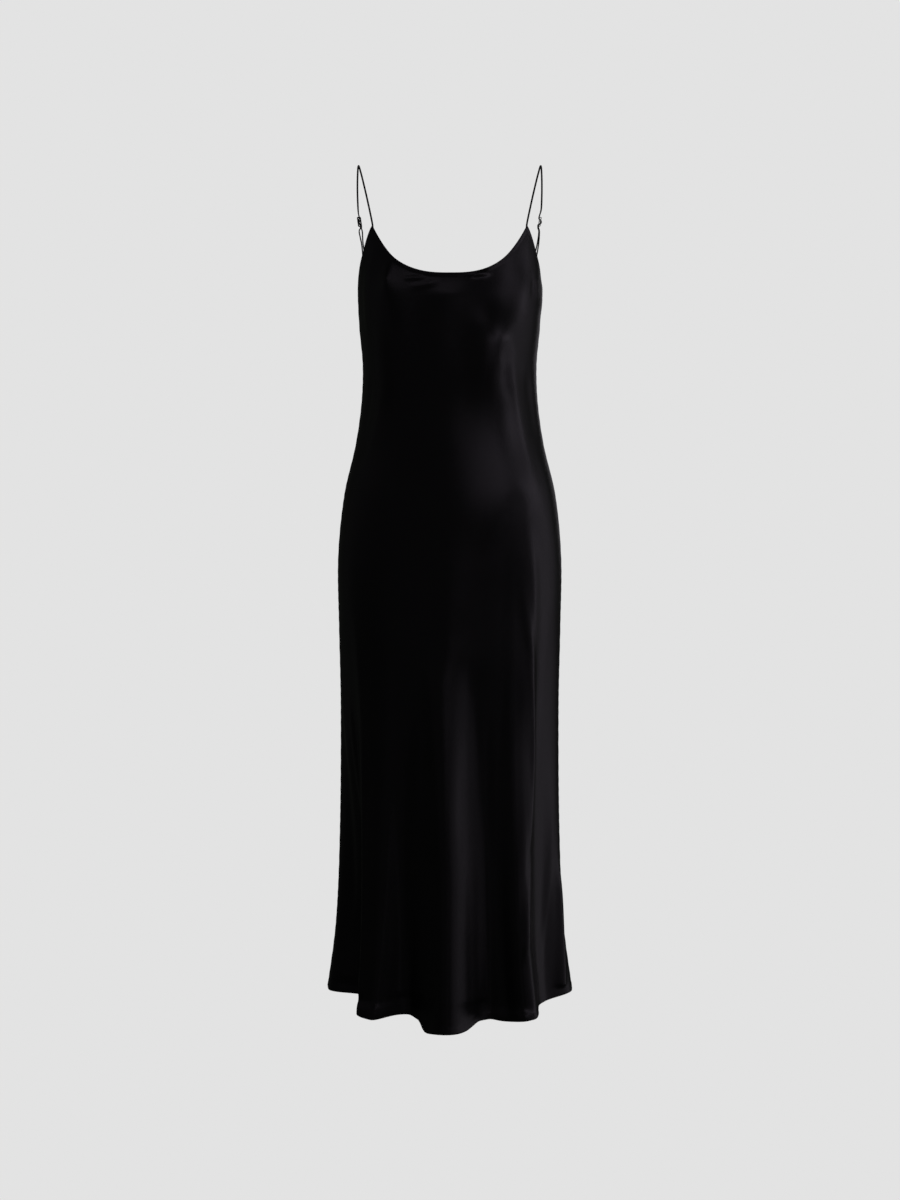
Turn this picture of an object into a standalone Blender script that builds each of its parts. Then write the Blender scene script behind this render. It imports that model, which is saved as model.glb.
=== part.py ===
"""Slip dress on the hollow form of its wearer.

Two bias-cut panels meet at the side seams and hang from two thin straps. Each strap is sewn
behind a point of the front, goes over the shoulder and through a slider, turns round a ring
and comes back up to the slider's middle bar. A small loop holds each ring on the back.

Metres, +Z up, front towards -Y. The origin lies midway between the tops of the two straps,
where the wearer's shoulders hold the dress.
"""

import math
from collections import namedtuple

import bmesh
import bpy
from mathutils import Matrix, Vector

# ---------------------------------------------------------------- driving sizes, metres
WALL = 0.0015
SEAM_GAP = 0.0003
FACET_SLACK = 0.0001
STRAP_RADIUS = 0.00125
WOVEN_RADIUS = 0.0009
LOOP_RADIUS = 0.0009

# The panels' form: horizontal sections of the worn dress. The squareness of a side is the
# power on its cosine: 1 is an ellipse, less is flatter across and fuller at the corners.
Section = namedtuple("Section", "name z half_width front back front_square back_square")
SECTIONS = (
    Section("strap points", -0.085, 0.1226, 0.091, 0.103, 0.50, 0.48),
    Section("upper chest", -0.120, 0.1257, 0.096, 0.105, 0.56, 0.50),
    Section("armpit", -0.150, 0.1298, 0.100, 0.107, 0.65, 0.54),
    Section("seam top", -0.186, 0.1314, 0.109, 0.107, 0.75, 0.60),
    Section("bust", -0.232, 0.1294, 0.118, 0.104, 0.82, 0.68),
    Section("under bust", -0.285, 0.1249, 0.119, 0.097, 0.87, 0.76),
    Section("waist", -0.340, 0.1270, 0.115, 0.090, 0.90, 0.82),
    Section("high hip", -0.400, 0.1358, 0.115, 0.091, 0.91, 0.86),
    Section("belly", -0.470, 0.1521, 0.118, 0.106, 0.91, 0.88),
    Section("seat", -0.560, 0.1616, 0.120, 0.121, 0.93, 0.90),
    Section("thigh", -0.660, 0.1610, 0.119, 0.121, 0.95, 0.94),
    Section("knee", -0.780, 0.1590, 0.120, 0.120, 0.98, 0.98),
    Section("calf", -0.960, 0.1610, 0.129, 0.130, 1.00, 1.00),
    Section("above hem", -1.100, 0.1676, 0.137, 0.140, 1.00, 1.00),
    Section("hem", -1.205, 0.1815, 0.142, 0.147, 1.00, 1.00),
)
CLIP_Z = (SECTIONS[0].z, -1.230)

# The edges. A place across a panel runs from -1 at one side seam to 1 at the other.
SEAM_TOP_Z = -0.186
ARMHOLE_POWER = 1.28
Edge = namedtuple("Edge", "peak_place peak_z middle_z scoop_power")
FRONT_EDGE = Edge(0.688, -0.0912, -0.1590, 2.80)
BACK_EDGE = Edge(0.810, -0.1480, -0.1880, 2.60)

# The hem's height at the right seam, at the middle of each panel and at the left seam.
HEM_RIGHT_Z, HEM_FRONT_Z, HEM_BACK_Z, HEM_LEFT_Z = -1.195, -1.2125, -1.207, -1.200

# Skirt folds at the hem, each a ridge (+) or a valley (-) that fades out up to its top. The
# two spreads are how far across the panel its flanks run, towards -X and towards +X, and the
# two crests are the powers that flatten its middle on those flanks. The hem hangs lower there
# by the drop, and the fold's place moves by the lean on its way up to the top.
Fold = namedtuple(
    "Fold",
    "name place reach spread_down spread_up crest_down crest_up top drop lean",
    defaults=(0.0, 0.0),
)
FRONT_FOLDS = (
    Fold("right side valley", -0.605, -0.041, 0.290, 0.130, 1.3, 1.4, -0.620, -0.0025, -0.15),
    Fold("right flute", -0.402, 0.019, 0.160, 0.195, 1.6, 1.15, -0.700, 0.002, -0.18),
    Fold("right trough", -0.240, -0.0195, 0.143, 0.130, 1.7, 1.0, -0.660, -0.004),
    Fold("flat of the middle flute", -0.076, 0.0034, 0.085, 0.243, 2.4, 2.3, -0.552, 0.0135),
    Fold("middle flute", -0.014, 0.0292, 0.128, 0.132, 1.0, 1.0, -0.500, -0.0073),
    Fold("left trough", 0.296, -0.0227, 0.224, 0.085, 2.0, 1.0, -0.500, 0.0037),
    Fold("left flute", 0.419, 0.0165, 0.1985, 0.099, 2.4, 1.0, -0.640, 0.0035),
    Fold("left side valley", 0.6745, -0.0246, 0.203, 0.275, 1.7, 1.0, -0.570, 0.0024),
)
BACK_FOLDS = (
    Fold("right side valley", -0.670, -0.028, 0.280, 0.150, 1.2, 1.2, -0.700),
    Fold("right flute", -0.430, 0.032, 0.150, 0.170, 1.5, 1.5, -0.700),
    Fold("right trough", -0.170, -0.014, 0.130, 0.110, 1.2, 1.2, -0.760),
    Fold("middle flute", 0.040, 0.040, 0.150, 0.170, 1.6, 1.6, -0.680),
    Fold("left trough", 0.270, -0.012, 0.110, 0.120, 1.2, 1.2, -0.760),
    Fold("left flute", 0.480, 0.028, 0.160, 0.140, 1.5, 1.5, -0.720),
    Fold("left side valley", 0.700, -0.024, 0.140, 0.260, 1.2, 1.2, -0.700),
)
FOLD_GROWTH = 1.4

# Soft roundings of the body under the cloth, each a mound on one panel.
Mound = namedtuple("Mound", "name panel x z reach across above below")
MOUNDS = (
    Mound("right bust", "front", -0.085, -0.232, 0.014, 0.040, 0.065, 0.090),
    Mound("left bust", "front", 0.068, -0.256, 0.016, 0.034, 0.048, 0.100),
    Mound("belly", "front", 0.100, -0.465, 0.009, 0.120, 0.085, 0.072),
    Mound("right shoulder blade", "back", -0.070, -0.190, 0.004, 0.045, 0.050, 0.060),
    Mound("left shoulder blade", "back", 0.070, -0.190, 0.004, 0.045, 0.050, 0.060),
)

# The grid of a panel: quads between a side seam and a peak, between the peaks, down to the
# level line and on to the hem.
SIDE_QUADS = 5
MIDDLE_QUADS = 26
LEVEL_Z = -0.250
TOP_QUADS = 8
LOWER_QUADS = 29

# The strap's line on one shoulder, from over the front point to the slider. Its top is at
# the height of the origin.
Waypoint = namedtuple("Waypoint", "name x y z")
STRAP_LINE = (
    Waypoint("chest", 0.1136, -0.0640, -0.0634),
    Waypoint("collar bone", 0.1194, -0.0515, -0.0385),
    Waypoint("front of shoulder", 0.1258, -0.0290, -0.0140),
    Waypoint("shoulder top", 0.1304, 0.0000, -STRAP_RADIUS),
    Waypoint("back of shoulder", 0.1328, 0.0255, -0.0135),
    Waypoint("shoulder blade", 0.1338, 0.0430, -0.0355),
    Waypoint("over the slider", 0.1334, 0.0515, -0.0575),
)
SLIDER_AT = Vector((0.1316, 0.0560, -0.0750))
RING_AT = Vector((0.1240, 0.0566, -0.1325))
SEWN_LENGTH = 0.009
SEWN_PLACE = FRONT_EDGE.peak_place + 0.019
LINE_STEP = 0.0060
PINCH = WOVEN_RADIUS + FACET_SLACK
TAPER = 0.012

# The two strands between slider and ring: where they spread and where they lie side by side,
# as shares of the way down, and how much of the outward swing the spread takes.
SPREAD_SHARE = 0.24
PINCH_SHARE = 0.56
SPREAD_SWING = 0.6
ABOVE_RING = 1.5

# How the hardware sits on each shoulder: the slider's turn about the strap's line, how far
# each of the two strands below it stands off that line, and how far both swing outwards.
Shoulder = namedtuple("Shoulder", "word side slider_turn spread_x spread_y swing")
SHOULDERS = (
    Shoulder("right", -1, math.radians(-54), 0.0024, 0.0004, 0.0002),
    Shoulder("left", 1, math.radians(71), 0.0005, 0.0021, 0.0016),
)

# The slider: a plate with three bars and two slots.
SLIDER_BAR = 0.0008
SLIDER_BAR_PITCH = 0.0064
SLIDER_WIDTH = 0.0074
SLIDER_CORNER = 0.0012
STRAND_OFFSET = 0.0012
WEAVE_DEPTH = SLIDER_BAR / 2 + SEAM_GAP + WOVEN_RADIUS + FACET_SLACK

# A strand's weave through the slider, in bar pitches down from the middle bar and in weave
# depths away from the body.
ABOVE_SLIDER = ((-1.75, -0.6), (-1.0, -1.0), (-0.7, -0.9), (-0.5, 0.0))
OVER_MIDDLE_BAR = ((-0.3, 0.9), (0.0, 1.05), (0.3, 0.9))
BELOW_SLIDER = ((0.5, 0.0), (0.7, -0.9), (1.0, -1.0), (1.6, -0.5))
SEWN_EYE = ((0.3, 0.9), (0.0, 1.05), (-0.26, 0.7), (-0.35, 0.0))

# The ring and the small loop that holds it on the back.
RING_RADIUS = 0.0034
RING_WIRE = 0.0006
TURN_POINTS = 7
LOOP_HALF_PLACE = 0.0095
LOOP_SEWN = (-0.001, 0.004, 0.011)

SATIN = ("black satin", (0.0060, 0.0058, 0.0066), 0.36, 0.0)
COATED_METAL = ("black coated metal", (0.0060, 0.0060, 0.0065), 0.30, 0.6)


def clear_scene():
    """Remove every object that the file opened with."""
    for old in list(bpy.data.objects):
        bpy.data.objects.remove(old, do_unlink=True)


def finish(name, colour, roughness, metallic):
    """The material of this name, made on its first use."""
    material = bpy.data.materials.get(name)
    if material is None:
        material = bpy.data.materials.new(name)
        material.use_nodes = True
        shader = material.node_tree.nodes["Principled BSDF"]
        shader.inputs["Base Color"].default_value = (*colour, 1.0)
        shader.inputs["Roughness"].default_value = roughness
        shader.inputs["Metallic"].default_value = metallic
    return material


def add_object(name, data, material):
    """Link an object that holds this mesh or curve and dress it."""
    piece = bpy.data.objects.new(name, data)
    bpy.context.scene.collection.objects.link(piece)
    piece.data.materials.append(finish(*material))
    return piece


# ---------------------------------------------------------------- the form of the panels
def column(rows, field, z):
    """One column of the section table at height z, on a smooth curve through its rows."""
    last = len(rows) - 2
    i = next((k for k in range(last) if z > rows[k + 1].z), last)
    low, high = rows[i], rows[i + 1]
    before, after = rows[max(i - 1, 0)], rows[min(i + 2, last + 1)]
    span = high.z - low.z
    start, end = getattr(low, field), getattr(high, field)
    rise_in = (end - getattr(before, field)) / (high.z - before.z) * span
    rise_out = (getattr(after, field) - start) / (after.z - low.z) * span
    t = (z - low.z) / span
    return (
        start * (2 * t**3 - 3 * t**2 + 1)
        + rise_in * (t**3 - 2 * t**2 + t)
        + end * (3 * t**2 - 2 * t**3)
        + rise_out * (t**3 - t**2)
    )


def fade(distance, crest=1.0):
    """1 at no distance and 0 from a distance of 1 on, level at both ends."""
    return math.cos(min(abs(distance), 1.0) ** crest * math.pi / 2) ** 2


def flank(fold, place):
    """A fold's share at a place across the panel: 1 on its middle line and 0 past its flanks."""
    if place > fold.place:
        return fade((place - fold.place) / fold.spread_up, fold.crest_up)
    return fade((place - fold.place) / fold.spread_down, fold.crest_down)


def fold_reach(folds, place, z):
    """How far the skirt's folds push the cloth outwards here."""
    reach = 0.0
    for fold in folds:
        depth = max(0.0, (fold.top - z) / (fold.top - SECTIONS[-1].z))
        leaned = place - fold.lean * (1 - min(depth, 1.0))
        reach += fold.reach * depth**FOLD_GROWTH * flank(fold, leaned)
    return reach


def mound_reach(panel, x, z):
    """How far the body's roundings push the cloth outwards here."""
    reach = 0.0
    for mound in MOUNDS:
        if mound.panel == panel:
            height = mound.above if z > mound.z else mound.below
            square = ((x - mound.x) / mound.across) ** 2 + ((z - mound.z) / height) ** 2
            reach += mound.reach * math.exp(-square)
    return reach


def panel_point(panel, place, z):
    """The outer face of a panel, at a place across it and a height."""
    front = panel == "front"
    level = min(max(z, CLIP_Z[1]), CLIP_Z[0])
    half_width = column(SECTIONS, "half_width", level)
    depth = column(SECTIONS, "front" if front else "back", level)
    square = column(SECTIONS, "front_square" if front else "back_square", level)
    turn = place * math.pi / 2
    x = half_width * math.sin(turn)
    y = depth * max(math.cos(turn), 0.0) ** square
    outwards = Vector((x / half_width**2, y / depth**2, 0.0)).normalized()
    folds = FRONT_FOLDS if front else BACK_FOLDS
    reach = fold_reach(folds, place, z) + mound_reach(panel, x, z) * math.cos(turn)
    point = Vector((x, y + SEAM_GAP / 2, z)) + outwards * reach
    if front:
        point.y = -point.y
    return point


def top_z(edge, place):
    """The height of a panel's top edge: its scoop between the peaks, its armholes outside."""
    across = abs(place)
    if across <= edge.peak_place:
        share = math.sin(across * math.pi / 2) / math.sin(edge.peak_place * math.pi / 2)
        return edge.middle_z + (edge.peak_z - edge.middle_z) * share**edge.scoop_power
    share = (across - edge.peak_place) / (1 - edge.peak_place)
    return edge.peak_z + (SEAM_TOP_Z - edge.peak_z) * share**ARMHOLE_POWER


def hem_z(edge, place):
    """The height of a panel's hem, which hangs lower at some folds."""
    seams = HEM_RIGHT_Z + (HEM_LEFT_Z - HEM_RIGHT_Z) * (place + 1) / 2
    middle = HEM_FRONT_Z if edge is FRONT_EDGE else HEM_BACK_Z
    folds = FRONT_FOLDS if edge is FRONT_EDGE else BACK_FOLDS
    drop = sum(fold.drop * flank(fold, place) for fold in folds)
    return seams + (middle - seams) * fade(place) - drop


def place_at(edge, step):
    """The place across the panel of a grid column, with a column on each peak."""
    if step < SIDE_QUADS:
        return -1 + (1 - edge.peak_place) * step / SIDE_QUADS
    if step <= SIDE_QUADS + MIDDLE_QUADS:
        return edge.peak_place * (2 * (step - SIDE_QUADS) / MIDDLE_QUADS - 1)
    return 1 - (1 - edge.peak_place) * (2 * SIDE_QUADS + MIDDLE_QUADS - step) / SIDE_QUADS


def height_at(edge, place, step):
    """The height of a grid row at a place: rows are level from the level line down."""
    if step <= TOP_QUADS:
        top = top_z(edge, place)
        return top + (LEVEL_Z - top) * step / TOP_QUADS
    return LEVEL_Z + (hem_z(edge, place) - LEVEL_Z) * (step - TOP_QUADS) / LOWER_QUADS


def build_panel(name, panel, edge):
    """One panel: a grid laid on its form and given the cloth's wall inwards."""
    columns = 2 * SIDE_QUADS + MIDDLE_QUADS
    rows = TOP_QUADS + LOWER_QUADS
    grid = bmesh.new()
    bmesh.ops.create_grid(grid, x_segments=columns, y_segments=rows, size=0.5)
    for vert in grid.verts:
        across = round((vert.co.x + 0.5) * columns)
        place = place_at(edge, across)
        z = height_at(edge, place, round((0.5 - vert.co.y) * rows))
        vert.co = panel_point(panel, place, z)
    if panel == "back":
        bmesh.ops.reverse_faces(grid, faces=grid.faces)
    mesh = bpy.data.meshes.new(name)
    grid.to_mesh(mesh)
    grid.free()
    mesh.shade_smooth()
    piece = add_object(name, mesh, SATIN)
    wall = piece.modifiers.new("cloth wall", "SOLIDIFY")
    wall.thickness = WALL
    wall.offset = -1
    wall.use_even_offset = True
    return piece


def inner_point(panel, place, z, depth):
    """A point this far inside a panel's outer face, square to it."""
    step = 1e-4
    point = panel_point(panel, place, z)
    along = panel_point(panel, place + step, z) - panel_point(panel, place - step, z)
    down = panel_point(panel, place, z - step) - panel_point(panel, place, z + step)
    inwards = along.cross(down).normalized()
    if inwards.y * point.y > 0:
        inwards.negate()
    return point + inwards * depth


# ---------------------------------------------------------------- straps and their hardware
def smooth_line(points, step):
    """Points about one step apart on a Catmull-Rom curve through the given ones."""
    line = []
    for i in range(len(points) - 1):
        a, b = points[i], points[i + 1]
        before, after = points[max(i - 1, 0)], points[min(i + 2, len(points) - 1)]
        pieces = max(2, math.ceil((b - a).length / step))
        for k in range(pieces):
            t = k / pieces
            line.append(
                0.5
                * (
                    2 * a
                    + (b - before) * t
                    + (2 * before - 5 * a + 4 * b - after) * t**2
                    + (3 * a - before - 3 * b + after) * t**3
                )
            )
    return [*line, points[-1]]


def tube(name, points, radius, material, shares=None):
    """A round closed tube along these points, as thick at each as its share of the radius."""
    curve = bpy.data.curves.new(name, "CURVE")
    curve.dimensions = "3D"
    curve.bevel_depth = radius
    curve.bevel_resolution = 2
    curve.use_fill_caps = True
    curve.twist_mode = "MINIMUM"
    spline = curve.splines.new("POLY")
    spline.points.add(len(points) - 1)
    for spot, point, share in zip(spline.points, points, shares or [1.0] * len(points)):
        spot.co = (*point, 1.0)
        spot.radius = share
    spline.use_smooth = True
    return add_object(name, curve, material)


def frame_at(centre, along, turn=0.0):
    """A local frame on a strap: X across it, Y down along it, Z away from the body."""
    down = along.normalized()
    away = (Vector((0, 1, 0)) - down * down.y).normalized()
    rotation = Matrix((down.cross(away), down, away)).transposed()
    return Matrix.Translation(centre) @ (rotation @ Matrix.Rotation(turn, 3, "Y")).to_4x4()


def on_side(side, point):
    """A point given for the +X shoulder, taken to this side."""
    return Vector((side * point.x, point.y, point.z))


def back_peak_inside(side, below, shift=0.0):
    """A point inside the back's peak, where the ring loop is sewn on."""
    depth = WALL + SEAM_GAP + LOOP_RADIUS + FACET_SLACK
    place = side * BACK_EDGE.peak_place + shift
    return inner_point("back", place, BACK_EDGE.peak_z - below, depth)


def ring_frame(shoulder):
    """The ring's frame: its wire circle lies in the frame's Y-Z plane."""
    centre = on_side(shoulder.side, RING_AT)
    return frame_at(centre, back_peak_inside(shoulder.side, 0.0) - centre)


def slider_frame(shoulder):
    """The slider's frame: its plate lies in the frame's X-Y plane."""
    centre = on_side(shoulder.side, SLIDER_AT)
    return frame_at(centre, on_side(shoulder.side, RING_AT) - centre, shoulder.slider_turn)


def half_turn(frame, centre_down, radius, downwards):
    """Points of a half turn in a frame's X-Y plane, from its -X end to its +X end."""
    bow = radius if downwards else -radius
    angles = [math.pi * k / (TURN_POINTS - 1) for k in range(TURN_POINTS)]
    return [
        frame @ Vector((-radius * math.cos(a), centre_down + bow * math.sin(a), 0))
        for a in angles
    ]


def strand(frame, across, weave):
    """A strand's points through the slider, from a weave's rows."""
    return [
        frame @ Vector((across, down * SLIDER_BAR_PITCH, away * WEAVE_DEPTH))
        for down, away in weave
    ]


def strap_line(shoulder):
    """The whole line of one strap, from behind the front point to the slider's middle bar.

    It comes with each point's share of the strap's radius: the soft rouleau is drawn thinner
    where it goes through the slider and round the ring.
    """
    side = shoulder.side
    depth = WALL + SEAM_GAP + STRAP_RADIUS
    sewn = [
        inner_point("front", side * SEWN_PLACE, FRONT_EDGE.peak_z - below, depth)
        for below in (SEWN_LENGTH, 0.0)
    ]
    over = [on_side(side, spot) for spot in STRAP_LINE]
    frame, ring = slider_frame(shoulder), ring_frame(shoulder)
    running = strand(frame, -STRAND_OFFSET, ABOVE_SLIDER + OVER_MIDDLE_BAR + BELOW_SLIDER)
    returning = strand(frame, STRAND_OFFSET, BELOW_SLIDER[::-1] + SEWN_EYE)
    reach = RING_WIRE + SEAM_GAP + WOVEN_RADIUS
    from_slider = on_side(side, SLIDER_AT)
    drop = on_side(side, RING_AT) - from_slider
    swing = Vector((side * shoulder.swing, 0, 0))
    spread = Vector((shoulder.spread_x, shoulder.spread_y, 0))
    legs = {}
    for sign in (-1, 1):
        spread_at = from_slider + drop * SPREAD_SHARE + swing * SPREAD_SWING + spread * sign
        pinched_at = from_slider + drop * PINCH_SHARE + swing + Vector((sign * PINCH, 0, 0))
        over_ring = ring @ Vector((sign * reach, -RING_RADIUS - ABOVE_RING * reach, 0))
        legs[sign] = [spread_at, pinched_at, over_ring]
    hooked = half_turn(ring, -RING_RADIUS, reach, True)
    upper = smooth_line([*sewn, *over, running[0]], LINE_STEP)
    weave = smooth_line(running, WOVEN_RADIUS)
    down_leg = smooth_line([running[-1], *legs[-1], hooked[0]], LINE_STEP)
    up_leg = smooth_line([hooked[-1], *legs[1][::-1], returning[0]], LINE_STEP)
    eye = smooth_line(returning, WOVEN_RADIUS)
    thin = WOVEN_RADIUS / STRAP_RADIUS
    shares = [
        thin + (1 - thin) * min((spot - upper[-1]).length / TAPER, 1.0) for spot in upper[:-1]
    ]
    drawn = weave[:-1] + down_leg[:-1] + hooked + up_leg[1:-1] + eye
    return upper[:-1] + drawn, shares + [thin] * len(drawn)


def rounded_outline(width, height, corner, centre_y):
    """The points of a rounded rectangle, counterclockwise."""
    points = []
    for quarter in range(4):
        sx = 1 if quarter in (0, 3) else -1
        sy = 1 if quarter in (0, 1) else -1
        middle_x = sx * (width / 2 - corner)
        middle_y = sy * (height / 2 - corner) + centre_y
        for k in range(3):
            a = math.pi / 2 * (quarter + k / 2)
            points.append((middle_x + corner * math.cos(a), middle_y + corner * math.sin(a)))
    return points


def build_slider(shoulder):
    """A flat slider with two slots, from one filled outline with two holes."""
    slot = (SLIDER_WIDTH - 2 * SLIDER_BAR, SLIDER_BAR_PITCH - SLIDER_BAR, SLIDER_CORNER / 2)
    height = 2 * SLIDER_BAR_PITCH + SLIDER_BAR
    outlines = (
        rounded_outline(SLIDER_WIDTH, height, SLIDER_CORNER, 0.0),
        rounded_outline(*slot, -SLIDER_BAR_PITCH / 2),
        rounded_outline(*slot, SLIDER_BAR_PITCH / 2),
    )
    curve = bpy.data.curves.new("slider", "CURVE")
    curve.dimensions = "2D"
    curve.fill_mode = "BOTH"
    curve.extrude = SLIDER_BAR / 2
    for outline in outlines:
        spline = curve.splines.new("POLY")
        spline.points.add(len(outline) - 1)
        spline.use_cyclic_u = True
        for spot, (x, y) in zip(spline.points, outline):
            spot.co = (x, y, 0.0, 1.0)
    piece = add_object(f"slider_{shoulder.word}", curve, COATED_METAL)
    piece.matrix_world = slider_frame(shoulder)


def build_ring(shoulder):
    """A round wire ring that stands square to the strap's two strands."""
    bpy.ops.mesh.primitive_torus_add(
        major_radius=RING_RADIUS, minor_radius=RING_WIRE, major_segments=20, minor_segments=8
    )
    piece = bpy.context.object
    piece.name = f"ring_{shoulder.word}"
    piece.data.materials.append(finish(*COATED_METAL))
    piece.data.shade_smooth()
    piece.matrix_world = ring_frame(shoulder) @ Matrix.Rotation(math.pi / 2, 4, "Y")


def build_ring_loop(shoulder):
    """A short rouleau from inside the back's peak, through the ring and back."""
    reach = RING_WIRE + SEAM_GAP + LOOP_RADIUS
    hooked = half_turn(ring_frame(shoulder), RING_RADIUS, reach, False)
    legs = {
        sign: [
            back_peak_inside(shoulder.side, below, sign * LOOP_HALF_PLACE)
            for below in LOOP_SEWN
        ]
        for sign in (-1, 1)
    }
    first = smooth_line([*legs[-1][::-1], hooked[0]], LINE_STEP)
    last = smooth_line([hooked[-1], *legs[1]], LINE_STEP)
    tube(f"ring_loop_{shoulder.word}", first[:-1] + hooked + last[1:], LOOP_RADIUS, SATIN)


def main():
    clear_scene()
    build_panel("front_panel", "front", FRONT_EDGE)
    build_panel("back_panel", "back", BACK_EDGE)
    for shoulder in SHOULDERS:
        line, shares = strap_line(shoulder)
        tube(f"strap_{shoulder.word}", line, STRAP_RADIUS, SATIN, shares)
        build_slider(shoulder)
        build_ring(shoulder)
        build_ring_loop(shoulder)


main()
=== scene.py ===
"""Looks of a worn black satin slip dress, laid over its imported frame.

Two bias-cut panels are thin shells on the frame's own form, with their creases as soft ridges
and troughs, turned edges and stitches. Straps, loops, sliders and rings are finer skins of the
frame's nodes. Metres, +Z up, front towards -Y, +X towards the wearer's left.
"""

import logging
import math
from dataclasses import dataclass, field
from enum import Enum

import bmesh
import bpy
import numpy as np
from mathutils import Matrix, Vector


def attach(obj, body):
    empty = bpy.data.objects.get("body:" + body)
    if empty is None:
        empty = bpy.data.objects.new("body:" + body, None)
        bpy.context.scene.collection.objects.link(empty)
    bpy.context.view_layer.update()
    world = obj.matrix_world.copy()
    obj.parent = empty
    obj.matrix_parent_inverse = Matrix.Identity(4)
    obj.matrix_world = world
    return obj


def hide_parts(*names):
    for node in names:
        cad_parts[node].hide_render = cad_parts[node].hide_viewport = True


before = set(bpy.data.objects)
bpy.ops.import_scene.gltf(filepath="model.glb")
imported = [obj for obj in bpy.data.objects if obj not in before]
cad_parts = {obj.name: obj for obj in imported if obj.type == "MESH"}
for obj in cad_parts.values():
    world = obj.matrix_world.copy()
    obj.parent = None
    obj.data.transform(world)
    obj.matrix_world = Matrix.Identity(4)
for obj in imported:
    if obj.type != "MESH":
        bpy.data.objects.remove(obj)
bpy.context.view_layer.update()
LOG = logging.getLogger("slip_dress")

Array = np.ndarray
Colour = tuple[float, float, float, float]

# Cloth from a panel's middle to its seam, where places run from 0 to 1.
QUARTER_GIRTH = 0.205
# Straight pieces of a crease's line, and how many flank widths out it is flat.
CREASE_STEPS = 14
CREASE_MARGIN = 3.0
# The UV map of flat cloth, and the radians of a wave texture to a unit of its scale.
CLOTH_MAP = "cloth"
WAVE_TURNS = 20.0


# ---------------------------------------------------------------- the cut and its creases
def smooth_step(share: Array) -> Array:
    """A smooth rise from 0 to 1 as the share goes from 0 to 1."""
    t = np.clip(share, 0.0, 1.0)
    return t * t * (3.0 - 2.0 * t)


class Side(Enum):
    """The two panels, by the side of the wearer that each covers."""

    FRONT = "front"
    BACK = "back"


@dataclass(frozen=True)
class Section:
    """A level section of the worn dress.

    Attributes:
        z: Its height.
        half_width: Half of its width.
        front: Depth of its front.
        back: Depth of its back.
        front_square: Power of the front's curve, 1 for an ellipse and less for a squarer one.
        back_square: The same for the back.
    """

    z: float
    half_width: float
    front: float
    back: float
    front_square: float
    back_square: float


@dataclass(frozen=True)
class Fold:
    """A skirt fold at the hem, a ridge (+) or valley (-) that fades out up to its top.

    Places run from -1 at the seam on the wearer's right to 1 at the left.

    Attributes:
        place: Its place at the hem.
        reach: How far it moves the hem outwards.
        spread_down: Width of its flank down the places.
        spread_up: Width of its flank up the places.
        crest_down: How broad its crest is on the flank down the places.
        crest_up: How broad its crest is on the flank up the places.
        top: The height at which it has faded out.
        drop: How much lower the hem hangs there.
        lean: How far its place moves on its way up.
    """

    place: float
    reach: float
    spread_down: float
    spread_up: float
    crest_down: float
    crest_up: float
    top: float
    drop: float = 0.0
    lean: float = 0.0

    def flank(self, place: Array) -> Array:
        """How much of the fold each place has.

        Args:
            place: Places across the panel, from -1 to 1.

        Returns:
            The share at each, 1 on the fold's middle line and 0 past its flanks.
        """
        up = place > self.place
        spread = np.where(up, self.spread_up, self.spread_down)
        crest = np.where(up, self.crest_up, self.crest_down)
        distance = np.clip(np.abs(place - self.place) / spread, 0.0, 1.0)
        return np.cos(distance**crest * math.pi / 2) ** 2


@dataclass(frozen=True)
class Mound:
    """A soft rounding of the body under the cloth of one side.

    Attributes:
        side: The side that it shows on.
        x: Its middle across the dress.
        z: Its middle's height.
        reach: How far it stands out.
        across: Its width to either side.
        above: Its height above its middle.
        below: Its height below its middle.
    """

    side: Side
    x: float
    z: float
    reach: float
    across: float
    above: float
    below: float


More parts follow.
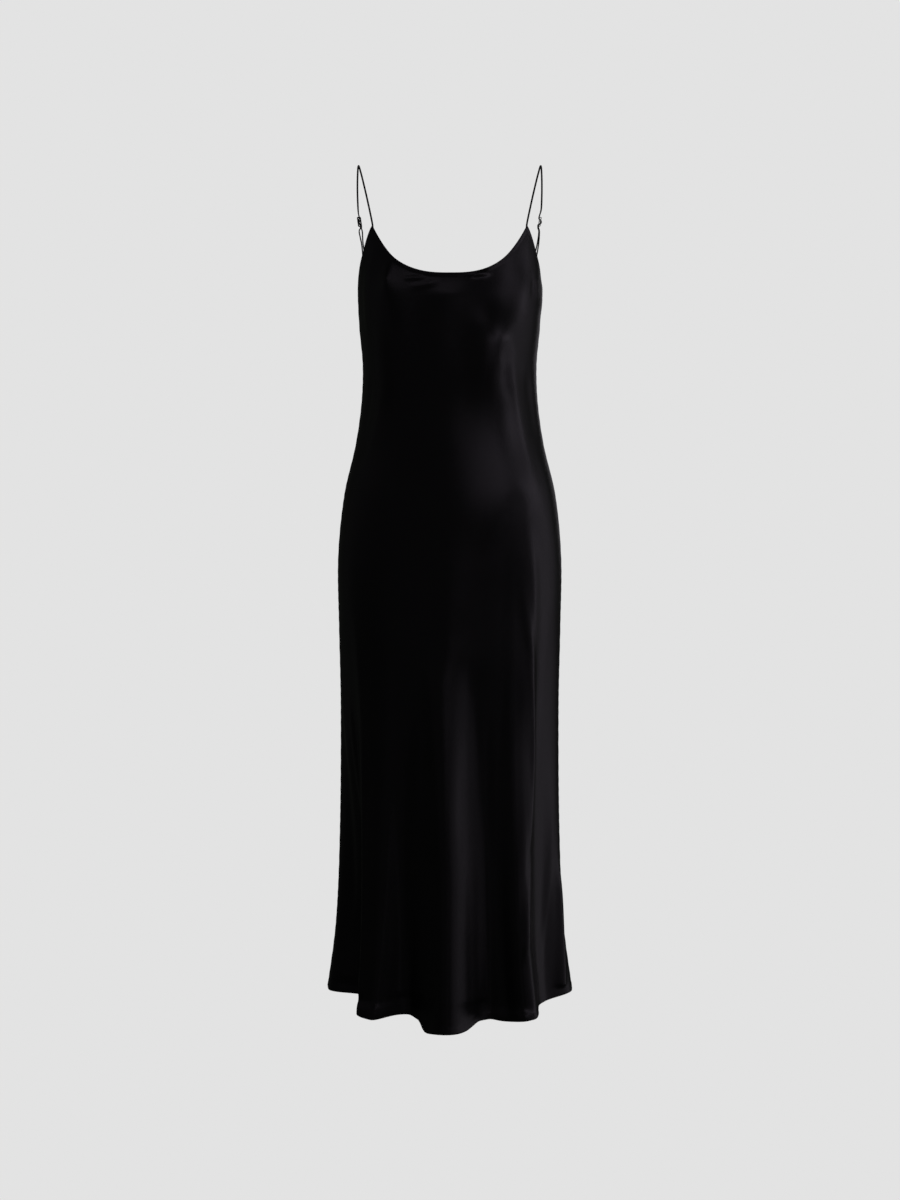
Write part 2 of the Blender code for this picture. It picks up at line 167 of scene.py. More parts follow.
@dataclass(frozen=True)
class Crease:
    """A soft ridge (+) or trough (-) along a bowed line that runs down the cloth.

    Attributes:
        start_place: The place of its upper end, from -1 to 1.
        start_z: The height of its upper end.
        end_place: The place of its lower end.
        end_z: The height of its lower end.
        reach: How far it moves the cloth outwards.
        flank_down: Width of its flank down the places.
        flank_up: Width of its flank up the places.
        bow: How far its line bows aside at its middle.
        flare: How many times wider it is at its lower end.
        fade_in: The share of its length over which it rises.
        fade_out: The share of its length over which it dies out.
    """

    start_place: float
    start_z: float
    end_place: float
    end_z: float
    reach: float
    flank_down: float
    flank_up: float
    bow: float = 0.0
    flare: float = 1.0
    fade_in: float = 0.35
    fade_out: float = 0.35

    def push(self, across: Array, z: Array) -> Array:
        """How far the crease moves the cloth outwards.

        Args:
            across: Distances across the panel from its middle, in metres along the cloth.
            z: Heights.

        Returns:
            The reach at each point.
        """
        start = np.array((self.start_place * QUARTER_GIRTH, self.start_z))
        end = np.array((self.end_place * QUARTER_GIRTH, self.end_z))
        run = end - start
        aside = np.array((-run[1], run[0])) / np.linalg.norm(run)
        shares = np.linspace(0.0, 1.0, CREASE_STEPS + 1)
        bowed = 4 * shares * (1 - shares) * self.bow
        line = start + run * shares[:, None] + aside * bowed[:, None]
        margin = CREASE_MARGIN * max(self.flank_down, self.flank_up) * max(1.0, self.flare)
        low, high = line.min(axis=0) - margin, line.max(axis=0) + margin
        near = (across > low[0]) & (across < high[0]) & (z > low[1]) & (z < high[1])
        spots = np.stack((across[near], z[near]), axis=1)
        best = np.full(len(spots), np.inf)
        along = np.zeros(len(spots))
        signed = np.zeros(len(spots))
        for k in range(CREASE_STEPS):
            piece = line[k + 1] - line[k]
            offset = spots - line[k]
            t = np.clip(offset @ piece / (piece @ piece), 0.0, 1.0)
            distance = np.linalg.norm(offset - t[:, None] * piece, axis=1)
            closer = distance < best
            turned = piece[0] * offset[:, 1] - piece[1] * offset[:, 0]
            best = np.where(closer, distance, best)
            signed = np.where(closer, turned, signed)
            along = np.where(closer, (k + t) / CREASE_STEPS, along)
        # Left of a line that runs down the panel lies towards +X.
        flank = np.where(signed > 0, self.flank_up, self.flank_down)
        flank = flank * (1.0 + (self.flare - 1.0) * along)
        window = smooth_step(along / self.fade_in) * smooth_step((1 - along) / self.fade_out)
        reach = np.zeros_like(z)
        reach[near] = self.reach * window * np.exp(-((best / flank) ** 2))
        return reach


@dataclass(frozen=True)
class Edge:
    """A panel's top edge: two peaks where the straps start, a scoop between, armholes outside.

    Attributes:
        peak_place: The place of each peak, from 0 at the middle to 1 at the seam.
        peak_z: The peaks' height.
        middle_z: The scoop's height at the middle.
        scoop_power: How flat the scoop's bottom is.
    """

    peak_place: float
    peak_z: float
    middle_z: float
    scoop_power: float


# Not set by hand: a scratch fitting program made the sections' front depths and front
# squareness, most sizes of the front's folds, the front's mounds and 28 of its 33 creases.
# They were rounded, and a few were changed afterwards. The back's shapes were set one by one.
SECTIONS = (
    Section(-0.085, 0.1226, 0.091, 0.103, 0.50, 0.48),
    Section(-0.120, 0.1257, 0.096, 0.105, 0.56, 0.50),
    Section(-0.150, 0.1298, 0.100, 0.107, 0.65, 0.54),
    Section(-0.186, 0.1314, 0.109, 0.107, 0.75, 0.60),
    Section(-0.232, 0.1294, 0.118, 0.104, 0.82, 0.68),
    Section(-0.285, 0.1249, 0.119, 0.097, 0.87, 0.76),
    Section(-0.340, 0.1270, 0.115, 0.090, 0.90, 0.82),
    Section(-0.400, 0.1358, 0.115, 0.091, 0.91, 0.86),
    Section(-0.470, 0.1521, 0.118, 0.106, 0.91, 0.88),
    Section(-0.560, 0.1616, 0.120, 0.121, 0.93, 0.90),
    Section(-0.660, 0.1610, 0.119, 0.121, 0.95, 0.94),
    Section(-0.780, 0.1590, 0.120, 0.120, 0.98, 0.98),
    Section(-0.960, 0.1610, 0.129, 0.130, 1.00, 1.00),
    Section(-1.100, 0.1676, 0.137, 0.140, 1.00, 1.00),
    Section(-1.205, 0.1815, 0.142, 0.147, 1.00, 1.00),
)
# The level below which the form keeps its size.
LOWEST_Z = -1.230
# Below 0, so that the panels overlap a little at the side seams.
SEAM_GAP = -0.0001
SEAM_TOP_Z = -0.186
ARMHOLE_POWER = 1.28
EDGES = {
    Side.FRONT: Edge(0.688, -0.0912, -0.1590, 2.80),
    Side.BACK: Edge(0.810, -0.1480, -0.1880, 2.60),
}
# The hem's height at the seam on the wearer's right and left, and at the middle of each side.
HEM_SEAM_Z = (-1.195, -1.200)
HEM_MIDDLE_Z = {Side.FRONT: -1.2125, Side.BACK: -1.207}
FOLDS = {
    Side.FRONT: (
        Fold(-0.605, -0.041, 0.290, 0.130, 1.3, 1.4, -0.620, -0.0025, -0.15),
        Fold(-0.402, 0.019, 0.160, 0.195, 1.6, 1.15, -0.700, 0.002, -0.18),
        Fold(-0.240, -0.0195, 0.143, 0.130, 1.7, 1.0, -0.660, -0.004),
        Fold(-0.076, 0.0034, 0.085, 0.243, 2.4, 2.3, -0.552, 0.0135),
        Fold(-0.014, 0.0292, 0.128, 0.132, 1.0, 1.0, -0.500, -0.0073),
        Fold(0.296, -0.0227, 0.224, 0.085, 2.0, 1.0, -0.500, 0.0037),
        Fold(0.419, 0.0165, 0.1985, 0.099, 2.4, 1.0, -0.640, 0.0035),
        Fold(0.6745, -0.0246, 0.203, 0.275, 1.7, 1.0, -0.570, 0.0024),
    ),
    Side.BACK: (
        Fold(-0.670, -0.028, 0.280, 0.150, 1.2, 1.2, -0.700),
        Fold(-0.430, 0.032, 0.150, 0.170, 1.5, 1.5, -0.700),
        Fold(-0.170, -0.014, 0.130, 0.110, 1.2, 1.2, -0.760),
        Fold(0.040, 0.040, 0.150, 0.170, 1.6, 1.6, -0.680),
        Fold(0.270, -0.012, 0.110, 0.120, 1.2, 1.2, -0.760),
        Fold(0.480, 0.028, 0.160, 0.140, 1.5, 1.5, -0.720),
        Fold(0.700, -0.024, 0.140, 0.260, 1.2, 1.2, -0.700),
    ),
}
# The power with which a fold grows on its way down.
FOLD_GROWTH = 1.4
MOUNDS = (
    Mound(Side.FRONT, -0.085, -0.198, 0.0185, 0.031, 0.056, 0.198),
    Mound(Side.FRONT, 0.064, -0.255, 0.0162, 0.031, 0.044, 0.102),
    Mound(Side.FRONT, 0.118, -0.474, 0.0107, 0.128, 0.089, 0.071),
    Mound(Side.FRONT, -0.002, -0.190, 0.0022, 0.032, 0.012, 0.018),
    Mound(Side.FRONT, -0.082, -0.166, 0.0057, 0.007, 0.016, 0.022),
    Mound(Side.BACK, -0.070, -0.190, 0.004, 0.045, 0.050, 0.060),
    Mound(Side.BACK, 0.070, -0.190, 0.004, 0.045, 0.050, 0.060),
)

# The creases of each side, from the neckline down.
CREASES = {
    Side.FRONT: (
        # two short creases fan out from the middle of the neckline
        Crease(-0.326, -0.1681, -0.148, -0.1667, 0.0014, 0.0028, 0.0028, 0.0012, 1.0, 0.4, 0.4),
        Crease(0.103, -0.1660, 0.306, -0.1607, 0.0028, 0.0040, 0.0038, 0.0030, 1.0, 0.4, 0.4),
        Crease(-0.291, -0.1808, -0.040, -0.1706, 0.0012, 0.0051, 0.0049, 0.0004, 1.0, 0.4, 0.4),
        # from the left strap point round the outer side of the bust
        Crease(0.323, -0.1257, 0.625, -0.2182, 0.0011, 0.0131, 0.0206, 0.0107, 1.0, 0.3, 0.35),
        Crease(0.710, -0.155, 0.680, -0.196, -0.0010, 0.005, 0.005, 0.0, 1.0, 0.4, 0.4),
        Crease(0.790, -0.160, 0.780, -0.200, 0.0010, 0.005, 0.006, 0.0, 1.0, 0.3, 0.5),
        # under the left bust and down to the hip
        Crease(0.393, -0.2461, 0.429, -0.3224, -0.0019, 0.0114, 0.0139, -0.0027, 1.0, 0.4, 0.4),
        Crease(0.454, -0.2730, 0.558, -0.4819, 0.0016, 0.0093, 0.0107, 0.0077, 1.4, 0.25, 0.40),
        Crease(0.649, -0.2792, 0.721, -0.4314, -0.0024, 0.0167, 0.0160, 0.0088, 1.3, 0.30, 0.40),
        Crease(0.315, -0.2827, 0.423, -0.3383, -0.0012, 0.0121, 0.0115, 0.0026, 1.0, 0.4, 0.4),
        # the slack below the belly
        Crease(0.450, -0.4518, 0.167, -0.5708, -0.0015, 0.0126, 0.0157, 0.0057, 1.4, 0.25, 0.50),
        Crease(0.465, -0.4589, 0.475, -0.6376, 0.0007, 0.0162, 0.0119, -0.0015, 1.4, 0.25, 0.50),
        Crease(0.630, -0.4611, 0.652, -0.7226, 0.0007, 0.0137, 0.0232, 0.0238, 1.2, 0.30, 0.45),
        Crease(0.455, -0.4908, 0.449, -0.8405, 0.0043, 0.0186, 0.0110, 0.0127, 1.2, 0.30, 0.30),
        # the wearer's right side, calmer
        Crease(-0.636, -0.1184, -0.628, -0.2529, 0.0024, 0.0142, 0.0154, -0.0051, 1.0, 0.3, 0.3),
        Crease(-0.460, -0.290, -0.640, -0.450, 0.0014, 0.010, 0.012, 0.0, 1.5, 0.30, 0.40),
        Crease(-0.620, -0.290, -0.760, -0.400, -0.0012, 0.008, 0.008, 0.0, 1.3, 0.30, 0.40),
        # beside the middle flute
        Crease(-0.117, -0.6663, -0.060, -1.0344, 0.0046, 0.0095, 0.0155, 0.0036, 1.2, 0.20, 0.40),
        Crease(0.116, -0.6822, 0.057, -1.0299, -0.0034, 0.0122, 0.0198, 0.0023, 1.2, 0.20, 0.40),
        Crease(0.185, -0.8909, 0.150, -1.1883, 0.0022, 0.0149, 0.0093, 0.0115, 1.2, 0.40, 0.02),
        Crease(0.045, -0.5204, 0.041, -0.6718, 0.0011, 0.0193, 0.0206, 0.0034, 1.0, 0.40, 0.40),
        Crease(0.154, -0.6912, 0.342, -1.2059, -0.0046, 0.0176, 0.0187, -0.0047, 1.2, 0.30, 0.02),
        Crease(-0.107, -0.6848, -0.213, -1.1824, 0.0045, 0.0118, 0.0212, -0.0060, 1.2, 0.30, 0.02),
        # fine lines down the skirt
        Crease(-0.806, -0.7307, -0.482, -1.1843, 0.0017, 0.0032, 0.0059, 0.0038, 1.0, 0.25, 0.02),
        Crease(0.422, -0.6671, 0.395, -1.0271, 0.0045, 0.0144, 0.0047, 0.0268, 1.2, 0.40, 0.30),
        Crease(0.830, -0.8513, 0.606, -1.1781, 0.0006, 0.0079, 0.0038, 0.0164, 1.2, 0.40, 0.10),
        Crease(0.890, -0.9827, 0.826, -1.1907, 0.0045, 0.0065, 0.0055, 0.0070, 1.2, 0.40, 0.02),
        Crease(0.398, -0.5622, 0.388, -1.1362, 0.0032, 0.0062, 0.0057, 0.0306, 1.2, 0.30, 0.06),
        Crease(-0.948, -0.7102, -0.796, -1.1810, 0.0047, 0.0100, 0.0228, 0.0275, 1.0, 0.30, 0.02),
        Crease(-0.633, -0.7089, -0.446, -1.1959, -0.0047, 0.0099, 0.0222, 0.0061, 1.0, 0.40, 0.02),
        Crease(-0.326, -0.7003, -0.270, -1.1933, -0.0007, 0.0121, 0.0138, 0.0033, 1.0, 0.40, 0.02),
        Crease(0.507, -0.8321, 0.539, -1.1893, 0.0013, 0.0063, 0.0073, -0.0024, 1.2, 0.30, 0.02),
        # the outline's small corner beside the left bust
        Crease(0.975, -0.160, 0.975, -0.215, 0.0014, 0.030, 0.030, 0.0, 1.0, 0.3, 0.3),
    ),
    Side.BACK: (
        Crease(-0.110, -0.190, 0.120, -0.190, 0.0020, 0.020, 0.018, 0.004, 1.0, 0.4, 0.4),
        Crease(-0.400, -0.186, -0.220, -0.196, 0.0012, 0.004, 0.005, 0.004, 1.0, 0.4, 0.4),
        Crease(0.240, -0.196, 0.430, -0.184, 0.0013, 0.004, 0.005, 0.004, 1.0, 0.4, 0.4),
        Crease(-0.760, -0.165, -0.560, -0.330, 0.0024, 0.014, 0.012, -0.006, 1.4, 0.25, 0.40),
        Crease(0.770, -0.165, 0.520, -0.350, 0.0027, 0.012, 0.014, 0.008, 1.4, 0.25, 0.40),
        Crease(-0.300, -0.300, 0.060, -0.350, 0.0018, 0.010, 0.014, 0.010, 1.2, 0.35, 0.35),
        Crease(0.020, -0.325, 0.360, -0.300, 0.0015, 0.012, 0.010, 0.008, 1.2, 0.35, 0.35),
        Crease(-0.560, -0.330, -0.740, -0.440, -0.0018, 0.008, 0.009, 0.0, 1.3, 0.30, 0.40),
        Crease(0.580, -0.320, 0.760, -0.430, -0.0021, 0.009, 0.008, 0.0, 1.3, 0.30, 0.40),
        Crease(-0.420, -0.640, -0.200, -0.700, 0.0020, 0.014, 0.016, 0.012, 1.2, 0.35, 0.35),
        Crease(0.180, -0.700, 0.440, -0.630, 0.0017, 0.016, 0.014, 0.012, 1.2, 0.35, 0.35),
        Crease(-0.300, -0.780, -0.330, -1.205, 0.0018, 0.012, 0.014, 0.0, 1.2, 0.40, 0.08),
        Crease(0.140, -0.800, 0.150, -1.205, -0.0018, 0.012, 0.012, 0.0, 1.2, 0.40, 0.08),
        Crease(0.600, -0.820, 0.610, -1.205, 0.0016, 0.012, 0.012, 0.0, 1.2, 0.40, 0.08),
    ),
}


@dataclass
class Figure:
    """The smooth hollow form that the worn dress takes.

    Attributes:
        sections: Its level sections, from the top down.
        folds: The skirt folds of each side.
        mounds: The roundings of the body under the cloth.
        heights: The heights of its sections.
    """

    sections: tuple[Section, ...] = SECTIONS
    folds: dict[Side, tuple[Fold, ...]] = field(default_factory=lambda: FOLDS)
    mounds: tuple[Mound, ...] = MOUNDS
    heights: Array = field(init=False)

    def __post_init__(self) -> None:
        """Read the sections' heights into a column."""
        self.heights = np.array([row.z for row in self.sections])

    def column(self, name: str, z: Array) -> Array:
        """One column of the section table on a smooth curve through its rows.

        Args:
            name: The column's name.
            z: Heights.

        Returns:
            The column's value at each height.
        """
        values = np.array([getattr(row, name) for row in self.sections])
        heights, last = self.heights, len(self.sections) - 1
        i = np.clip(np.searchsorted(-heights, -z, side="right") - 1, 0, last - 1)
        before, after = np.maximum(i - 1, 0), np.minimum(i + 2, last)
        start, end = values[i], values[i + 1]
        span = heights[i + 1] - heights[i]
        rise_in = (end - values[before]) / (heights[i + 1] - heights[before]) * span
        rise_out = (values[after] - start) / (heights[after] - heights[i]) * span
        t = (z - heights[i]) / span
        return (
            start * (2 * t**3 - 3 * t**2 + 1)
            + rise_in * (t**3 - 2 * t**2 + t)
            + end * (3 * t**2 - 2 * t**3)
            + rise_out * (t**3 - t**2)
        )

    def fold_reach(self, side: Side, place: Array, z: Array) -> Array:
        """How far the skirt's folds push the cloth of one side outwards.

        Args:
            side: The side.
            place: Places across the panel, from -1 to 1.
            z: Heights.

        Returns:
            The reach at each point.
        """
        reach = np.zeros_like(z)
        for fold in self.folds[side]:
            depth = np.clip((fold.top - z) / (fold.top - self.heights[-1]), 0.0, None)
            leaned = place - fold.lean * (1.0 - np.minimum(depth, 1.0))
            reach += fold.reach * depth**FOLD_GROWTH * fold.flank(leaned)
        return reach

    def mound_reach(self, side: Side, x: Array, z: Array) -> Array:
        """How far the body's roundings push the cloth of one side outwards.

        Args:
            side: The side.
            x: Distances across the dress.
            z: Heights.

        Returns:
            The reach at each point.
        """
        reach = np.zeros_like(z)
        for mound in self.mounds:
            if mound.side is side:
                height = np.where(z > mound.z, mound.above, mound.below)
                square = ((x - mound.x) / mound.across) ** 2 + ((z - mound.z) / height) ** 2
                reach += mound.reach * np.exp(-square)
        return reach

    def surface(self, side: Side, place: Array, z: Array) -> tuple[Array, Array]:
        """The smooth outer face of a panel.

        Args:
            side: The panel's side.
            place: Places across the panel, from -1 to 1.
            z: Heights.

        Returns:
            The points, and the level outward direction at each.
        """
        level = np.clip(z, LOWEST_Z, self.heights[0])
        half_width = self.column("half_width", level)
        depth = self.column(side.value, level)
        square = self.column(f"{side.value}_square", level)
        turn = place * math.pi / 2
        cosine = np.clip(np.cos(turn), 0.0, None)
        x, y = half_width * np.sin(turn), depth * cosine**square
        outwards = np.stack((x / half_width**2, y / depth**2, np.zeros_like(x)), axis=1)
        outwards /= np.linalg.norm(outwards, axis=1, keepdims=True)
        reach = self.fold_reach(side, place, z) + self.mound_reach(side, x, z) * cosine
        points = np.stack((x, y + SEAM_GAP / 2, z), axis=1) + outwards * reach[:, None]
        if side is Side.FRONT:
            points[:, 1] *= -1
            outwards[:, 1] *= -1
        return points, outwards


@dataclass(frozen=True)
class Unevenness:
    """The small waviness of soft cloth, as a sum of long random waves.

    Attributes:
        seed: Seed of the random draws.
        waves: Number of waves.
        height: Height of one wave.
        across: Shortest and longest wave across the panel.
        down: Shortest and longest wave down the panel.
    """

    seed: int
    waves: int = 14
    height: float = 0.00022
    across: tuple[float, float] = (0.045, 0.120)
    down: tuple[float, float] = (0.160, 0.520)

    def reach(self, across: Array, z: Array) -> Array:
        """How far the waviness moves the cloth outwards.

        Args:
            across: Distances across the panel from its middle, in metres along the cloth.
            z: Heights.

        Returns:
            The reach at each point.
        """
        draws = np.random.default_rng(self.seed)
        total = np.zeros_like(z)
        for _ in range(self.waves):
            width, length = draws.uniform(*self.across), draws.uniform(*self.down)
            lean, phase = draws.choice((-1.0, 1.0)), draws.uniform(0.0, 2 * math.pi)
            total += np.sin(2 * math.pi * (across / width + lean * z / length) + phase)
        return total * self.height


@dataclass(frozen=True)
class SeamRelief:
    """What a side seam draws into the cloth beside it.

    Attributes:
        pucker: Height of the puckers.
        pitch: Distance from pucker to pucker.
        drift: How far the puckers wander, in radians.
        drift_rate: How fast they wander, in radians to a metre.
        pucker_width: How far the puckers reach from the seam.
        roll: Height of the roll beside the seam, and depth of the ditch at it.
        roll_at: The roll's distance from the seam.
        roll_width: Width of the roll.
        ditch_width: Width of the ditch.
    """

    pucker: float = 0.00018
    pitch: float = 0.017
    drift: float = 3.0
    drift_rate: float = 41.0
    pucker_width: float = 0.009
    roll: float = 0.00030
    roll_at: float = 0.0022
    roll_width: float = 0.0011
    ditch_width: float = 0.0008

    def reach(self, to_seam: Array, z: Array) -> Array:
        """How far the seam moves the cloth outwards.

        Args:
            to_seam: Distances from the nearer seam.
            z: Heights.

        Returns:
            The reach at each point.
        """
        phase = 2 * math.pi * z / self.pitch + self.drift * np.sin(z * self.drift_rate)
        puckers = np.sin(phase) * np.exp(-to_seam / self.pucker_width)
        roll = np.exp(-((to_seam - self.roll_at) ** 2) / self.roll_width**2)
        ditch = np.exp(-to_seam / self.ditch_width)
        return self.pucker * puckers + self.roll * (roll - ditch)


# ---------------------------------------------------------------- finishes
class Value:
    """A shader socket that can stand in sums and products."""

    def __init__(self, tree: "Tree", socket: bpy.types.NodeSocket) -> None:
        """Hold a socket of a tree."""
        self.tree = tree
        self.socket = socket

    def join(self, operation: str, first: "Value | float", second: "Value | float") -> "Value":
        """The result of a Math node on two values."""
        return self.tree.node("ShaderNodeMath", {"operation": operation}, {0: first, 1: second})

    def __add__(self, other: "Value | float") -> "Value":
        """The sum."""
        return self.join("ADD", self, other)

    def __mul__(self, other: "Value | float") -> "Value":
        """The product."""
        return self.join("MULTIPLY", self, other)

    def __sub__(self, other: "Value | float") -> "Value":
        """The difference."""
        return self.join("SUBTRACT", self, other)

    def __rsub__(self, other: float) -> "Value":
        """The difference from a number."""
        return self.join("SUBTRACT", other, self)

    __radd__ = __add__
    __rmul__ = __mul__

    def swing(self, width: float) -> "Value":
        """The value's swing about 0, of a given width for a value from 0 to 1."""
        return (self - 0.5) * width


class Tree:
    """The nodes of one material or world."""

    def __init__(self, owner: bpy.types.Material | bpy.types.World) -> None:
        """Open an empty node tree.

        Args:
            owner: The material or world that it belongs to.
        """
        owner.use_nodes = True
        self.nodes = owner.node_tree.nodes
        self.links = owner.node_tree.links
        self.nodes.clear()

    def node(
        self,
        kind: str,
        settings: dict | None = None,
        inputs: dict | None = None,
        out: int | str = 0,
    ) -> Value:
        """Add a node.

        Args:
            kind: The node's type.
            settings: Its settings, set before its sockets. Stops are a ramp's places and colours.
            inputs: Values or links of its input sockets.
            out: The output socket to return.

        Returns:
            The output socket as a value.
        """
        made = self.nodes.new(kind)
        for name, setting in (settings or {}).items():
            if name == "stops":
                for element, (place, colour) in zip(made.color_ramp.elements, setting):
                    element.position = place
                    element.color = colour
            else:
                setattr(made, name, setting)
        for name, given in (inputs or {}).items():
            if isinstance(given, Value):
                self.links.new(given.socket, made.inputs[name])
            else:
                made.inputs[name].default_value = given
        return Value(self, made.outputs[out] if made.outputs else None)

    def noise(self, vector: Value, scale: float, detail: float) -> Value:
        """A soft random grey over a vector."""
        inputs = {"Vector": vector, "Scale": scale, "Detail": detail}
        return self.node("ShaderNodeTexNoise", {}, inputs, "Fac")

    def bump(self, height: Value, distance: float, strength: float) -> Value:
        """The normal that a height bends."""
        inputs = {"Height": height, "Distance": distance, "Strength": strength}
        return self.node("ShaderNodeBump", {}, inputs)

    def blend(self, share: Value, span: tuple[float, float], dark: Colour, light: Colour) -> Value:
        """The colour between a dark and a light one, over a span of the share."""
        stops = ((span[0], dark), (span[1], light))
        return self.node("ShaderNodeValToRGB", {"stops": stops}, {"Fac": share})


Sockets = dict[str, Value | float | Colour]


class Ground(Enum):
    """What a finish's pattern lies on."""

    CLOTH = "cloth"
    PIECE = "piece"

    def vector(self, tree: Tree) -> Value:
        """Where each point lies in the pattern.

        Args:
            tree: The finish's nodes.

        Returns:
            The coordinates, in metres of flat cloth or of the piece itself.
        """
        if self is Ground.CLOTH:
            return tree.node("ShaderNodeUVMap", {"uv_map": CLOTH_MAP})
        return tree.node("ShaderNodeTexCoord", {}, {}, "Object")


@dataclass(frozen=True)
class Finish:
    """What the finishes of the dress share.

    Attributes:
        name: The material's name.
        dark: Its colour in its pattern's lows.
        light: Its colour on its pattern's highs.
        roughness: The middle of its roughness.
        span: The pattern's shares at which the colour is dark, and light.
        depth: Height of its relief.
        strength: Strength of its relief.
        specular: Its specular level.
    """

    name: str
    dark: Colour
    light: Colour
    roughness: float
    span: tuple[float, float] = (0.35, 0.65)
    depth: float = 0.00004
    strength: float = 0.5
    specular: float = 0.5

    def sockets(self, tree: Tree) -> Sockets:
        """The shader's values and links, by the names of its sockets."""
        raise NotImplementedError

    def build(self) -> bpy.types.Material:
        """Make the material.

        Returns:
            The material, with the finish as its shader.
        """
        material = bpy.data.materials.new(self.name)
        tree = Tree(material)
        shader = tree.node("ShaderNodeBsdfPrincipled", {}, self.sockets(tree))
        tree.node("ShaderNodeOutputMaterial", {}, {"Surface": shader})
        return material


@dataclass(frozen=True)
class Grained(Finish):
    """A finish whose colour, roughness and relief follow one grain.

    Attributes:
        ground: What the grain lies on.
        grain: Grains to a metre.
        detail: How many finer steps the grain has.
        swing: How far the roughness swings with the grain.
        metallic: How metallic it is.
        coat: Weight of its clear coat.
    """

    ground: Ground = Ground.PIECE
    grain: float = 1500.0
    detail: float = 3.0
    swing: float = 0.08
    metallic: float = 0.0
    coat: float = 0.0

    def sockets(self, tree: Tree) -> Sockets:
        """Add the nodes of the finish.

        Args:
            tree: The finish's nodes.

        Returns:
            The shader's values and links, by the names of its sockets.
        """
        grain = tree.noise(self.ground.vector(tree), self.grain, self.detail)
        return {
            "Base Color": tree.blend(grain, self.span, self.dark, self.light),
            "Roughness": grain.swing(self.swing) + self.roughness,
            "Normal": tree.bump(grain, self.depth, self.strength),
            "Specular IOR Level": self.specular,
            "Metallic": self.metallic,
            "Coat Weight": self.coat,
        }


@dataclass(frozen=True)
class SatinFace(Finish):
    """The glossy right side of black satin, with fine bias threads.

    Attributes:
        tint: Its specular tint.
        thread: Distance between threads.
        slubs: Slubs to a metre, along and across the threads.
        slub_detail: How many finer steps the slubs have.
        patches: Patches to a metre.
        patch_detail: How many finer steps the patches have.
        relief_mix: Shares of the threads and the slubs in the relief.
        colour_mix: Shares of the slubs and the patches in the colour.
        roughness_swings: How far the roughness swings with the slubs, and with the patches.
    """

    name: str = "black_satin_face"
    dark: Colour = (0.0024, 0.0025, 0.0026, 1.0)
    light: Colour = (0.0050, 0.0052, 0.0053, 1.0)
    roughness: float = 0.36
    depth: float = 0.00002
    strength: float = 0.35
    tint: Colour = (1.0, 0.92, 1.05, 1.0)
    thread: float = 0.00045
    slubs: tuple[float, float, float] = (900.0, 60.0, 1.0)
    slub_detail: float = 3.0
    patches: float = 9.0
    patch_detail: float = 2.0
    relief_mix: tuple[float, float] = (0.5, 0.8)
    colour_mix: tuple[float, float] = (0.4, 0.6)
    roughness_swings: tuple[float, float] = (0.06, 0.05)

    def sockets(self, tree: Tree) -> Sockets:
        """Add the nodes of the finish.

        Args:
            tree: The finish's nodes.

        Returns:
            The shader's values and links, by the names of its sockets.
        """
        cloth = Ground.CLOTH.vector(tree)
        turned = {"Vector": cloth, "Rotation": (0.0, 0.0, math.pi / 4)}
        bias = tree.node("ShaderNodeMapping", {}, turned)
        turns = {"Vector": bias, "Scale": 2 * math.pi / (WAVE_TURNS * self.thread)}
        warp = tree.node("ShaderNodeTexWave", {"bands_direction": "X"}, turns, "Fac")
        stretched = tree.node("ShaderNodeMapping", {}, {"Vector": bias, "Scale": self.slubs})
        slubs = tree.noise(stretched, 1.0, self.slub_detail)
        patches = tree.noise(cloth, self.patches, self.patch_detail)
        relief = warp * self.relief_mix[0] + slubs * self.relief_mix[1]
        mix = slubs * self.colour_mix[0] + patches * self.colour_mix[1]
        by_slub, by_patch = self.roughness_swings
        return {
            "Base Color": tree.blend(mix, self.span, self.dark, self.light),
            "Roughness": slubs.swing(by_slub) + patches.swing(by_patch) + self.roughness,
            "Normal": tree.bump(relief, self.depth, self.strength),
            "Specular IOR Level": self.specular,
            "Specular Tint": self.tint,
        }


@dataclass(frozen=True)
class SatinBack(Grained):
    """The matt wrong side of the satin, with a crepe grain."""

    name: str = "black_satin_wrong_side"
    dark: Colour = (0.0075, 0.0072, 0.0080, 1.0)
    light: Colour = (0.0110, 0.0105, 0.0115, 1.0)
    roughness: float = 0.62
    ground: Ground = Ground.CLOTH
    span: tuple[float, float] = (0.3, 0.7)


@dataclass(frozen=True)
class Rouleau(Finish):
    """Satin on a narrow turned tube, in the tube's own small scale.

    Attributes:
        puckers: Puckers to a metre.
        threads: Threads to a metre.
        detail: How many finer steps both have.
        thread_share: Share of the threads in the relief.
        swing: How far the roughness swings with the threads.
    """

    name: str = "black_satin_rouleau"
    dark: Colour = (0.0026, 0.0025, 0.0030, 1.0)
    light: Colour = (0.0060, 0.0056, 0.0066, 1.0)
    roughness: float = 0.42
    specular: float = 0.22
    puckers: float = 420.0
    threads: float = 2600.0
    detail: float = 2.0
    thread_share: float = 0.2
    swing: float = 0.08

    def sockets(self, tree: Tree) -> Sockets:
        """Add the nodes of the finish.

        Args:
            tree: The finish's nodes.

        Returns:
            The shader's values and links, by the names of its sockets.
        """
        place = Ground.PIECE.vector(tree)
        puckers = tree.noise(place, self.puckers, self.detail)
        threads = tree.noise(place, self.threads, self.detail)
        relief = puckers + threads * self.thread_share
        return {
            "Base Color": tree.blend(puckers, self.span, self.dark, self.light),
            "Roughness": threads.swing(self.swing) + self.roughness,
            "Normal": tree.bump(relief, self.depth, self.strength),
            "Specular IOR Level": self.specular,
        }


